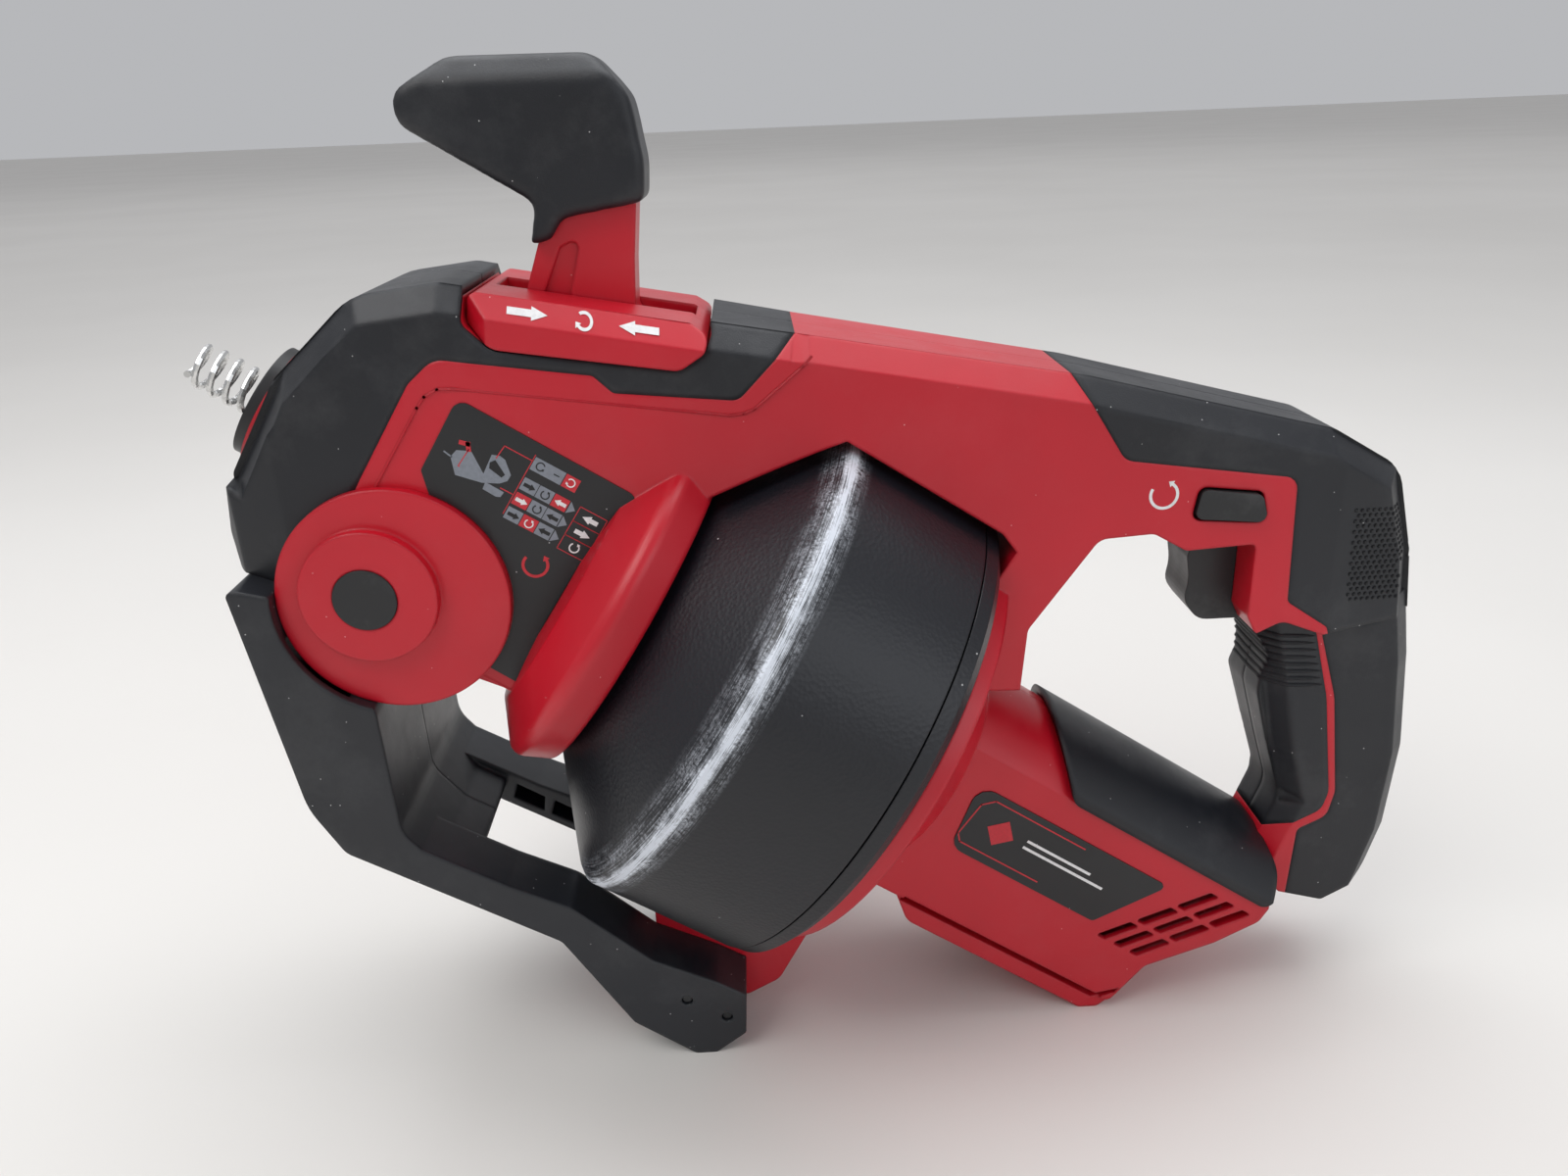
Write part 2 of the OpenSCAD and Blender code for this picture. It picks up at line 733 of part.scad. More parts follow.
module gearbox_case() {
    color("dimgray") on_axis() {
        translate([0, 0, gear_t]) linear_extrude(gear_width) difference() {
            circle(r = 25, $fn = fine);
            toothed_disc(ring_teeth, 0, true);
        }
        translate([0, 0, gear_t + gear_width]) difference() {
            cylinder(h = 3, r = 25, $fn = fine);
            translate([0, 0, -1]) cylinder(h = 5, r = 7, $fn = mid);
        }
        translate([0, 0, gear_t - 14]) difference() {
            cylinder(h = 14, r = 25, $fn = fine);
            translate([0, 0, -1]) cylinder(h = 16, r = 18, $fn = fine);
        }
    }
}

module planet(index) {
    color("silver") on_axis() rotate([0, 0, 120 * index]) translate([orbit_r, 0, gear_t + 0.5]) difference() {
        linear_extrude(gear_width - 1) toothed_disc(planet_teeth, 10);
        translate([0, 0, -1]) cylinder(h = gear_width + 2, r = 2.05, $fn = low);
    }
}
module planet_1() { planet(0); }
module planet_2() { planet(1); }
module planet_3() { planet(2); }

module motor_can() {
    color("#55585c") on_axis() {
        translate([0, 0, 112]) difference() {
            cylinder(h = 76, r = 24, $fn = fine);
            translate([0, 0, 3]) cylinder(h = 80, r = 21, $fn = fine);
            translate([0, 0, -1]) cylinder(h = 6, r = 4, $fn = mid);
        }
    }
}

module motor_rotor() {
    color("#8a5a3c") on_axis() {
        translate([0, 0, gear_t + 1]) linear_extrude(gear_width - 2) toothed_disc(sun_teeth, 0);
        translate([0, 0, gear_t + gear_width - 1]) cylinder(h = 102, r = 2.5, $fn = mid);
        translate([0, 0, 122]) cylinder(h = 56, r = 19.5, $fn = fine);
        translate([0, 0, 180]) cylinder(h = 8, r = 11, $fn = mid);
    }
}

module motor_fan() {
    color(hard_black) on_axis() translate([0, 0, 194]) {
        difference() {
            cylinder(h = 2, r = 23, $fn = fine);
            translate([0, 0, -1]) cylinder(h = 12, r = 2.5, $fn = mid);
        }
        difference() {
            cylinder(h = 9, r = 6, $fn = mid);
            translate([0, 0, -1]) cylinder(h = 12, r = 2.5, $fn = mid);
        }
        for (i = [0:10]) rotate([0, 0, i * 360 / 11]) translate([5, -0.7, 0]) cube([17, 1.4, 9]);
    }
}

// ---------------------------------------------------------------- controls and battery foot

module switch_body() {
    color(hard_black) {
        slab([[156.2, 166, 0], [156.2, 189, 0], [186, 189, 0], [186, 166, 0]], -10, 10);
        cross_bar(164, 189, 4, -6, 6);
    }
}

module trigger() {
    color(hard_black) difference() {
        slab([[125, 186, 3], [126.5, 177, 20], [125, 169, 8], [131, 160.8, 7], [148.4, 160.8, 0], [148.4, 191.2, 0],
              [126, 190.4, 3]], -11, 11);
        slab([[136, 179, 0], [150, 179, 0], [150, 169, 0], [136, 169, 0]], -8, 8);
    }
}

module selector() {
    color(hard_black) difference() {
        slab([[119.4, 207, 2.6], [121.4, 217.6, 2.6], [142.6, 214.6, 2.6], [145.6, 204.5, 2.6]],
             -selector_half, selector_half);
        slab([[120, 209.8, 0], [120, 220, 0], [150, 220, 0], [150, 209.8, 0]], -22, 22);
    }
}

module control_board() {
    color("darkgreen") slab([[60, 222, 0], [60, 242, 0], [81, 239.1, 0], [81, 219.1, 0]], -1, 1);
}

module terminal_block() {
    color(hard_black) axis_slab([[130, -46, 0], [130, -38, 0], [174, -38, 0], [174, -46, 0]], -17, 17);
}

module terminal_blades() {
    color("goldenrod") for (y = [-12, -4, 4, 12])
        axis_slab([[136, -51, 0], [136, -46, 0], [166, -46, 0], [166, -51, 0]], y - 0.5, y + 0.5);
}

// ---------------------------------------------------------------- stand

// Height of the rails' straight lower edge at x
function rail_foot(x) = 101 - (x + 186) * 44 / 73;

leg_outline = [
    [-208, 204, 2], [-196, 120, 30], [-186, 101, 8], [-149, rail_foot(-149), 2], [-142, 86.5, 2], [-154, 94, 8],
    [-165, 108, 14], [-166, 156, 0], [-170, 172, 5], [-188, 182, 10], [-194, 203.5, 2]
];
rail_outline = [
    [-170, rail_foot(-170), 0], [-113, 57, 6], [-89, 17, 6], [-66, 0, 3], [-58, 0, 3], [-46, 9, 2], [-45, 27, 1],
    [-56, 34, 4], [-80, 46, 8], [-108, 72, 10], [-130, 83, 0], [-160, 101, 0]
];

module stand_shell() {
    difference() {
        union() {
            difference() {
                slab(leg_outline, -stand_half, 0);
                slab([[-200, 194, 0], [-191, 122, 20], [-182, 106, 6], [-158, 92, 0], [-172, 106, 8], [-173, 160, 4],
                      [-190, 178, 6], [-197, 196, 2]], wall - stand_half, 1);
            }
            slab(rail_outline, -stand_half, -rail_gap);
        }
        cross_bar(-155, 196, 39.3, -60, 1);
        for (cell = [0:1]) translate([cell * 15, 0, -cell * 9]) slab(
            [[-141, 77.5, 0], [-129, 70.3, 0], [-128, 77, 0], [-139, 84, 0]], wall - stand_half, -rail_gap + 1);
        foot_screw_holes(2.2);
        slab(upper_outline, -60, 1);
    }
}
module stand_left() { color("#3a3c3f") stand_shell(); }
module stand_right() { color("#3a3c3f") right_of(1) stand_shell(); }

// ---------------------------------------------------------------- fasteners

module housing_screws() {
    color(steel) for (spot = housing_screw_spots) cross_bar(spot[0], spot[1], 1.75, -10, 11);
}

module stand_screws() {
    color(steel) {
        for (side = [0, 1]) right_of(side) {
            cross_bar(-163, 198.5, 2.1, -42, -30);
            cross_bar(-163, 198.5, 4.5, -43, -40);
            for (spot = [[-68, 26], [-53, 17]]) cross_bar(spot[0], spot[1], 1.75, -stand_half + 1, -12);
        }
    }
}

housing_left();
housing_right();
front_overmould_left();
front_overmould_right();
rear_overmould_left();
rear_overmould_right();
grip_left();
grip_right();
motor_pad();
nose_lip();
nose_ring();
guide_tube();
side_cover_left();
side_cover_right();
plug_left();
plug_right();
function_label();
name_plate_left();
name_plate_right();
lever_gate();
feed_lever();
lever_grip();
lever_pin();
feed_rocker();
upper_roller_front();
upper_roller_rear();
upper_axles();
lower_roller_front();
lower_roller_rear();
lower_axles();
drum_front();
drum_rear();
drum_screws();
drum_spindle();
spindle_bearing();
snake_coil();
snake_cable();
spring_tip();
gearbox_case();
planet_1();
planet_2();
planet_3();
motor_can();
motor_rotor();
motor_fan();
switch_body();
trigger();
selector();
control_board();
terminal_block();
terminal_blades();
stand_left();
stand_right();
housing_screws();
stand_screws();
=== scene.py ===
import bpy
import math
import bmesh
from mathutils import Matrix, Vector
from mathutils.bvhtree import BVHTree


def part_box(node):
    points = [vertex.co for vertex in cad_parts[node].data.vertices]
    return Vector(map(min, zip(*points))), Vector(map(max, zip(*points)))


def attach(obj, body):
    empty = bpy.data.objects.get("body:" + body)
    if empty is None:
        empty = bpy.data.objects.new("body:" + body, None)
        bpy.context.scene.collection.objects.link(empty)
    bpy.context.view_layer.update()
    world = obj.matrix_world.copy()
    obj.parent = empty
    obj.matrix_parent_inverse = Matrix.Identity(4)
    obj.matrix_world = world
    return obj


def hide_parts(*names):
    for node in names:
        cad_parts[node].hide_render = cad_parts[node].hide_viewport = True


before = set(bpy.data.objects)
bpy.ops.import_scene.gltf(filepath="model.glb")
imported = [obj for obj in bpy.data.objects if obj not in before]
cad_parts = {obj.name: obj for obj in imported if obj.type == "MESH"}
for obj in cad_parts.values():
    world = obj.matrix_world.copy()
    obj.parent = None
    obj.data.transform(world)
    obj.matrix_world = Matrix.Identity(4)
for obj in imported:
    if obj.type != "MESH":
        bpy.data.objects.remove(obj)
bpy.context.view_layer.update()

MM = 0.001
TILT = math.radians(34)
COS, SIN = math.cos(TILT), math.sin(TILT)


def middle(node):
    low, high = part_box(node)
    return (low + high) / 2


# The lever pin's centre fixes the side-view coordinates used below, in millimetres
PIN = middle("lever_pin")
ORIGIN_X = PIN.x + 108.391 * MM
DRUM = Vector((ORIGIN_X - 52 * MM, 0, 157 * MM))


def side(x, y, z):
    """A side-view point in millimetres to the frame."""
    return Vector((ORIGIN_X + x * MM, y * MM, z * MM))


def slant(t, u, y):
    """A point along and above the drum's axis, in millimetres, to the frame."""
    return DRUM + Vector((t * COS + u * SIN, 0, -t * SIN + u * COS)) * MM + Vector((0, y * MM, 0))


# ---------------------------------------------------------------- materials

class Nodes:
    """Short calls for building one node material."""

    def __init__(self, name):
        self.mat = bpy.data.materials.new(name)
        self.mat.use_nodes = True
        self.tree = self.mat.node_tree
        self.shader = self.tree.nodes["Principled BSDF"]
        self.coords = self.tree.nodes.new("ShaderNodeTexCoord").outputs["Object"]

    def add(self, kind, links=None, **values):
        node = self.tree.nodes.new("ShaderNode" + kind)
        for key, value in values.items():
            setattr(node, key, value)
        for socket, value in (links or {}).items():
            target = node.inputs[socket]
            if isinstance(value, bpy.types.NodeSocket):
                self.tree.links.new(value, target)
            else:
                target.default_value = value
        return node

    def noise(self, scale, detail=3.0, rough=0.55, vector=None):
        node = self.add("TexNoise", {"Vector": vector or self.coords, "Scale": scale, "Detail": detail,
                                     "Roughness": rough})
        return node.outputs["Fac"]

    def ramp(self, value, low, high):
        """0 below low, 1 above high."""
        node = self.add("MapRange", {"Value": value, "From Min": low, "From Max": high})
        return node.outputs["Result"]

    def math(self, op, a, b=0.0):
        return self.add("Math", {0: a, 1: b}, operation=op).outputs[0]

    def mix(self, fac, a, b):
        node = self.add("Mix", {"Factor": fac}, data_type="RGBA")
        for socket, value in ((node.inputs[6], a), (node.inputs[7], b)):
            if isinstance(value, bpy.types.NodeSocket):
                self.tree.links.new(value, socket)
            else:
                socket.default_value = value
        return node.outputs[2]

    def bump(self, height, strength, distance, normal=None):
        links = {"Height": height, "Strength": strength, "Distance": distance}
        if normal:
            links["Normal"] = normal
        return self.add("Bump", links).outputs["Normal"]

    def edges(self, radius):
        return self.add("Bevel", {"Radius": radius}, samples=6).outputs["Normal"]

    def put(self, **sockets):
        for name, value in sockets.items():
            target = self.shader.inputs[name.replace("_", " ")]
            if isinstance(value, bpy.types.NodeSocket):
                self.tree.links.new(value, target)
            else:
                target.default_value = value


def rgb(r, g, b):
    """sRGB 0-255 to a linear colour."""
    def linear(c):
        c /= 255
        return c / 12.92 if c <= 0.04045 else ((c + 0.055) / 1.055) ** 2.4
    return (linear(r), linear(g), linear(b), 1.0)


def moulded(name, colour, dark, rough, grain_scale, grain_depth, round_edges, dust=0.0,
            dust_colour=(0.6, 0.6, 0.6, 1), film=0.10):
    """Moulded plastic or soft rubber: grain, slow colour drift, and dust specks."""
    m = Nodes(name)
    drift = m.ramp(m.noise(9.0, 3.0), 0.35, 0.7)
    base = m.mix(drift, colour, dark)
    smudge = m.ramp(m.noise(38.0, 5.0, 0.65), 0.4, 0.75)
    if dust:
        cells = m.add("TexVoronoi", {"Vector": m.coords, "Scale": 620.0, "Randomness": 1.0})
        speck = m.math("LESS_THAN", cells.outputs["Distance"], 0.12)
        sparse = m.math("GREATER_THAN", m.add("SeparateColor", {0: cells.outputs["Color"]}).outputs[0], 1 - dust)
        base = m.mix(m.math("MULTIPLY", speck, sparse), base, dust_colour)
        haze = m.math("MULTIPLY", m.ramp(m.noise(24.0, 6.0, 0.7), 0.5, 0.85), film)
        base = m.mix(haze, base, dust_colour)
    roughness = m.add("MapRange", {"Value": smudge, "To Min": rough - 0.05, "To Max": rough + 0.08}).outputs[0]
    normal = m.edges(round_edges)
    grain = m.bump(m.noise(grain_scale, 2.0), 0.55, grain_depth, normal)
    m.put(Base_Color=base, Roughness=roughness, Normal=grain)
    return m


def red_plastic():
    return moulded("red_plastic", rgb(194, 18, 39), rgb(179, 14, 33), 0.34, 2600.0, 0.00006, 0.0016, dust=0.012,
                   dust_colour=(0.7, 0.42, 0.42, 1), film=0.03).mat


def soft_rubber(name="soft_rubber", edge=0.0034):
    m = moulded(name, rgb(19, 22, 29), rgb(14, 16, 22), 0.44, 1900.0, 0.00010, edge, dust=0.03, film=0.05)
    return m.mat


def grey_plastic():
    return moulded("grey_plastic", rgb(29, 32, 38), rgb(24, 26, 31), 0.40, 1700.0, 0.00008, 0.0022, dust=0.02,
                   film=0.04).mat


def black_plastic():
    return moulded("black_plastic", rgb(30, 31, 33), rgb(25, 26, 28), 0.45, 1900.0, 0.00006, 0.0008, dust=0.01).mat


def drum_plastic():
    """Black drum shell, scuffed white in streaks round its ridge."""
    m = Nodes("drum_plastic")
    place = m.add("SeparateXYZ", {0: m.coords})
    dx = m.math("SUBTRACT", place.outputs["X"], DRUM.x)
    dz = m.math("SUBTRACT", place.outputs["Z"], DRUM.z)
    along = m.math("SUBTRACT", m.math("MULTIPLY", dx, COS), m.math("MULTIPLY", dz, SIN))
    up = m.math("ADD", m.math("MULTIPLY", dx, SIN), m.math("MULTIPLY", dz, COS))
    turn = m.math("ARCTAN2", place.outputs["Y"], up)
    # streaks run round the drum: stretched noise over angle and length along the axis
    wrapped = m.add("CombineXYZ", {0: m.math("MULTIPLY", turn, 1.6), 1: m.math("MULTIPLY", along, 1300.0), 2: 0.0})
    streak = m.noise(1.9, 6.0, 0.72, wrapped.outputs[0])
    patch = m.noise(3.0, 4.0, 0.6, m.add("CombineXYZ", {0: m.math("MULTIPLY", turn, 2.4),
                                                        1: m.math("MULTIPLY", along, 60.0), 2: 3.0}).outputs[0])
    worn = m.math("ADD", m.math("MULTIPLY", streak, 0.65), m.math("MULTIPLY", patch, 0.35))
    near = m.math("SUBTRACT", 1.0, m.ramp(m.math("ABSOLUTE", m.math("SUBTRACT", along, 0.0005)), 0.0003, 0.0082))
    fine = m.ramp(m.noise(900.0, 3.0, 0.7), 0.36, 0.60)
    amount = m.math("MULTIPLY", m.math("MULTIPLY", near, m.ramp(worn, 0.44, 0.66)), m.math("MULTIPLY", fine, 1.5))
    ridge = m.math("SUBTRACT", 1.0, m.ramp(m.math("ABSOLUTE", m.math("SUBTRACT", along, 0.001)), 0.0004, 0.0030))
    core = m.math("MULTIPLY", ridge, m.ramp(worn, 0.41, 0.50))
    scuff = m.math("MINIMUM", m.math("ADD", amount, core), 1.0)
    drift = m.ramp(m.noise(7.0, 3.0), 0.35, 0.7)
    base = m.mix(drift, rgb(17, 19, 26), rgb(12, 14, 19))
    cells = m.add("TexVoronoi", {"Vector": m.coords, "Scale": 330.0, "Randomness": 1.0})
    speck = m.math("MULTIPLY", m.math("LESS_THAN", cells.outputs["Distance"], 0.12),
                   m.math("GREATER_THAN", m.add("SeparateColor", {0: cells.outputs["Color"]}).outputs[0], 0.975))
    base = m.mix(m.math("MULTIPLY", speck, 0.7), base, (0.5, 0.5, 0.5, 1))
    base = m.mix(scuff, base, (0.68, 0.72, 0.79, 1))
    rough = m.math("ADD", 0.38, m.math("MULTIPLY", scuff, 0.25))
    leather = m.add("TexVoronoi", {"Vector": m.coords, "Scale": 700.0, "Randomness": 1.0}).outputs["Distance"]
    normal = m.bump(leather, 0.45, 0.00018, m.edges(0.0007))
    m.put(Base_Color=base, Roughness=rough, Normal=normal)
    return m.mat


def metal(name, colour, rough, scale=60.0):
    m = Nodes(name)
    streak = m.noise(scale, 5.0, 0.6, m.add("Mapping", {"Vector": m.coords, "Scale": (1, 14, 1)}).outputs[0])
    base = m.mix(m.ramp(streak, 0.3, 0.7), colour, tuple(c * 0.72 for c in colour[:3]) + (1,))
    rough_map = m.add("MapRange", {"Value": streak, "To Min": rough - 0.05, "To Max": rough + 0.1}).outputs[0]
    m.put(Base_Color=base, Roughness=rough_map, Metallic=1.0, Normal=m.bump(streak, 0.2, 0.00003))
    return m.mat


def ink(name, colour, rough=0.5):
    """Printed marking: slightly uneven ink."""
    m = Nodes(name)
    worn = m.ramp(m.noise(700.0, 4.0, 0.6), 0.25, 0.6)
    base = m.mix(worn, tuple(c * 0.82 for c in colour[:3]) + (1,), colour)
    m.put(Base_Color=base, Roughness=rough)
    return m.mat


def label_film():
    m = Nodes("label_film")
    base = m.mix(m.ramp(m.noise(30.0, 4.0), 0.35, 0.7), rgb(24, 25, 27), rgb(30, 31, 33))
    cells = m.add("TexVoronoi", {"Vector": m.coords, "Scale": 500.0, "Randomness": 1.0})
    speck = m.math("MULTIPLY", m.math("LESS_THAN", cells.outputs["Distance"], 0.12),
                   m.math("GREATER_THAN", m.add("SeparateColor", {0: cells.outputs["Color"]}).outputs[0], 0.97))
    m.put(Base_Color=m.mix(speck, base, (0.4, 0.4, 0.4, 1)), Roughness=0.42,
          Normal=m.bump(m.noise(1500.0, 2.0), 0.3, 0.00004))
    return m.mat


RED = red_plastic()
RUBBER = soft_rubber()
GREY = grey_plastic()
BLACK = black_plastic()
DRUM_BLACK = drum_plastic()
ZINC = metal("bright_zinc", (0.78, 0.78, 0.77, 1), 0.24)
STEEL = metal("machined_steel", (0.5, 0.5, 0.5, 1), 0.32)
CABLE = metal("wound_cable", (0.33, 0.33, 0.34, 1), 0.4, 120.0)
BRASS = metal("contact_brass", (0.72, 0.5, 0.2, 1), 0.3)
COPPER = metal("rotor_copper", (0.55, 0.3, 0.18, 1), 0.35)
FILM = label_film()
WHITE_INK = ink("white_ink", rgb(232, 232, 232))
RED_INK = ink("red_ink", rgb(196, 40, 52))
GREY_INK = ink("grey_ink", rgb(128, 134, 143))
BLACK_INK = ink("black_ink", rgb(22, 23, 25))

CAD_MATERIALS = {
    "housing_left": RED, "housing_right": RED, "side_cover_left": RED, "side_cover_right": RED,
    "nose_ring": RED, "lever_gate": RED, "feed_lever": RED,
    "front_overmould_left": RUBBER, "front_overmould_right": RUBBER,
    "rear_overmould_left": RUBBER, "rear_overmould_right": RUBBER,
    "grip_left": RUBBER, "grip_right": RUBBER, "motor_pad": RUBBER, "lever_grip": RUBBER,
    "stand_screws": BLACK, "housing_screws": BLACK, "stand_left": GREY, "stand_right": GREY,
    "drum_front": DRUM_BLACK, "drum_rear": DRUM_BLACK,
    "nose_lip": BLACK, "plug_left": BLACK, "plug_right": BLACK, "trigger": BLACK, "selector": BLACK,
    "switch_body": BLACK, "terminal_block": BLACK, "motor_fan": BLACK, "control_board": BLACK,
    "function_label": FILM, "name_plate_left": FILM, "name_plate_right": FILM,
    "spring_tip": ZINC, "guide_tube": STEEL, "snake_cable": CABLE, "snake_coil": CABLE,
    "terminal_blades": BRASS, "motor_rotor": COPPER,
}
for name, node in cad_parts.items():
    node.data.materials.clear()
    node.data.materials.append(CAD_MATERIALS.get(name, STEEL))
    for face in node.data.polygons:
        face.material_index = 0


# ---------------------------------------------------------------- soft mouldings

def finished(obj, name):
    """The object's mesh with its modifiers applied, as a new linked object."""
    graph = bpy.context.evaluated_depsgraph_get()
    mesh = bpy.data.meshes.new_from_object(obj.evaluated_get(graph))
    bpy.data.objects.remove(obj)
    mesh.name = name
    result = bpy.data.objects.new(name, mesh)
    bpy.context.scene.collection.objects.link(result)
    return result


def softened(node, name, voxel, passes):
    """A copy of a CAD node with its edges rounded off, as moulded rubber has them."""
    work = bpy.data.objects.new(name + "_work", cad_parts[node].data.copy())
    bpy.context.scene.collection.objects.link(work)
    grid = work.modifiers.new("grid", "REMESH")
    grid.mode = "VOXEL"
    grid.voxel_size = voxel
    ease = work.modifiers.new("ease", "SMOOTH")
    ease.factor = 0.5
    ease.iterations = passes
    soft = finished(work, name)
    for face in soft.data.polygons:
        face.use_smooth = True
    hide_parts(node)
    return soft


SOFT_GRIP = softened("lever_grip", "lever_grip_soft", 1.3 * MM, 12)
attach(SOFT_GRIP, "lever")
SOFT_GRIP.data.materials.clear()
SOFT_GRIP.data.materials.append(RUBBER)


def surface_of(*names):
    """One ray-cast tree over several CAD nodes."""
    bm = bmesh.new()
    for name in names:
        bm.from_mesh(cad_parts[name].data)
    tree = BVHTree.FromBMesh(bm)
    bm.free()
    return tree


def tube(points, radius, rings=6):
    """Vertices and faces of a round bead along points, tapered to nothing at both ends."""
    verts, faces = [], []
    n = len(points)
    for i, p in enumerate(points):
        ahead = points[min(i + 1, n - 1)] - points[max(i - 1, 0)]
        across = ahead.cross(Vector((0, 0, 1))).normalized()
        up = across.cross(ahead).normalized()
        size = radius * min(1.0, 0.15 + min(i, n - 1 - i) / 4)
        for k in range(rings):
            a = math.tau * k / rings
            verts.append(p + (across * math.cos(a) + up * math.sin(a)) * size)
    for i in range(n - 1):
        for k in range(rings):
            j = (k + 1) % rings
            faces.append((i * rings + k, i * rings + j, (i + 1) * rings + j, (i + 1) * rings + k))
    faces.append(tuple(reversed(range(rings))))
    faces.append(tuple((n - 1) * rings + k for k in range(rings)))
    return verts, faces


def grip_ribs():
    """Raised finger ribs round the front of the hand grip, laid on its surface."""
    pad = surface_of("grip_left", "grip_right")
    verts, faces = [], []
    count, lowest, pitch, steps, reach = 8, 136.5, 2.9, 48, 80 * MM
    for rib in range(count):
        core = side(180, 0, lowest + pitch * rib - 3)
        points = []
        for step in range(steps + 1):
            a = math.radians(96 + 168 * step / steps)
            outward = Vector((math.cos(a), math.sin(a), 0.10)).normalized()
            hit = pad.ray_cast(core + outward * reach, -outward, reach)[0]
            if hit:
                points.append(hit)
        if len(points) < 8:
            continue
        new_verts, new_faces = tube(points, 0.75 * MM)
        base = len(verts)
        verts += new_verts
        faces += [tuple(base + i for i in face) for face in new_faces]
    mesh = bpy.data.meshes.new("grip_ribs")
    mesh.from_pydata([tuple(v) for v in verts], [], faces)
    mesh.materials.append(RUBBER)
    ribs = bpy.data.objects.new("grip_ribs", mesh)
    bpy.context.scene.collection.objects.link(ribs)
    fix_normals(mesh)
    for face in mesh.polygons:
        face.use_smooth = True
    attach(ribs, "casing")


def grip_dots():
    """Rows of low raised dots on both sides of the handle's rear covering."""
    skin = surface_of("rear_overmould_left", "rear_overmould_right")
    pitch, radius, height, sides = 2.3, 0.85 * MM, 0.45 * MM, 6
    verts, faces = [], []
    for flip in (-1, 1):
        for row in range(18):
            for column in range(16):
                x = 178 + pitch * (column + 0.5 * (row % 2)) + 0.10 * row
                z = 206 - 0.87 * pitch * row - 0.12 * column
                hit, normal = skin.ray_cast(side(x, flip * 60, z), Vector((0, -flip, 0)), 45 * MM)[:2]
                if not hit or abs(normal.y) < 0.6:
                    continue
                across = normal.cross(Vector((0, 0, 1))).normalized()
                up = across.cross(normal)
                base = len(verts)
                for size, lift in ((radius, -0.05 * MM), (radius * 0.55, height)):
                    for k in range(sides):
                        a = math.tau * k / sides
                        verts.append(hit + (across * math.cos(a) + up * math.sin(a)) * size + normal * lift)
                for k in range(sides):
                    n = (k + 1) % sides
                    faces.append((base + k, base + n, base + sides + n, base + sides + k))
                faces.append(tuple(base + k for k in reversed(range(sides))))
                faces.append(tuple(base + sides + k for k in range(sides)))
    mesh = bpy.data.meshes.new("grip_dots")
    mesh.from_pydata([tuple(v) for v in verts], [], faces)
    mesh.materials.append(RUBBER)
    dots = bpy.data.objects.new("grip_dots", mesh)
    bpy.context.scene.collection.objects.link(dots)
    fix_normals(mesh)
    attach(dots, "casing")


# ---------------------------------------------------------------- printed markings

HEAD_HALF = 38
LABEL_THICK = 0.5
PLATE_HALF = 35.5


def flat_piece(name, outlines, place, material, body, thick=0.12):
    """Thin raised print: place() puts each outline's (a, b) points on the surface, given a lift in mm."""
    verts, faces = [], []
    for points in outlines:
        n = len(points)
        base = len(verts)
        verts += [place(a, b, 0.03) for a, b in points] + [place(a, b, thick) for a, b in points]
        faces.append(tuple(base + n + i for i in range(n)))
        faces.append(tuple(base + i for i in reversed(range(n))))
        for i in range(n):
            j = (i + 1) % n
            faces.append((base + i, base + j, base + n + j, base + n + i))
    mesh = bpy.data.meshes.new(name)
    mesh.from_pydata([tuple(v) for v in verts], [], faces)
    mesh.validate()
    obj = bpy.data.objects.new(name, mesh)
    bpy.context.scene.collection.objects.link(obj)
    mesh.materials.append(material)
    fix_normals(mesh)
    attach(obj, body)
    return obj


def fix_normals(mesh):
    bm = bmesh.new()
    bm.from_mesh(mesh)
    bmesh.ops.triangulate(bm, faces=bm.faces)
    bmesh.ops.recalc_face_normals(bm, faces=bm.faces)
    bm.to_mesh(mesh)
    bm.free()


grip_ribs()
grip_dots()


def arrow(cx, cy, length, width, head, angle):
    """A block arrow pointing along angle, in degrees."""
    shaft = width * 0.26
    shape = [(-length / 2, -shaft), (length / 2 - head, -shaft), (length / 2 - head, -width / 2), (length / 2, 0),
             (length / 2 - head, width / 2), (length / 2 - head, shaft), (-length / 2, shaft)]
    return turned(shape, cx, cy, angle)


def turned(shape, cx, cy, angle):
    a = math.radians(angle)
    return [(cx + x * math.cos(a) - y * math.sin(a), cy + x * math.sin(a) + y * math.cos(a)) for x, y in shape]


def turn_arrow(cx, cy, r, width, start, sweep, head=1.9):
    """An open ring with a triangular head at its end, as separate outlines."""
    quads = []
    steps = 26
    for i in range(steps):
        a0 = math.radians(start + sweep * i / steps)
        a1 = math.radians(start + sweep * (i + 1) / steps)
        inner, outer = r - width / 2, r + width / 2
        quads.append([(cx + rad * math.cos(a), cy + rad * math.sin(a))
                      for rad, a in ((inner, a0), (outer, a0), (outer, a1), (inner, a1))])
    end = math.radians(start + sweep)
    forward = math.copysign(1, sweep)
    tip = (cx + r * math.cos(end) - forward * math.sin(end) * width * head,
           cy + r * math.sin(end) + forward * math.cos(end) * width * head)
    quads.append([(cx + (r - width * 1.25) * math.cos(end), cy + (r - width * 1.25) * math.sin(end)),
                  (cx + (r + width * 1.25) * math.cos(end), cy + (r + width * 1.25) * math.sin(end)), tip])
    return quads


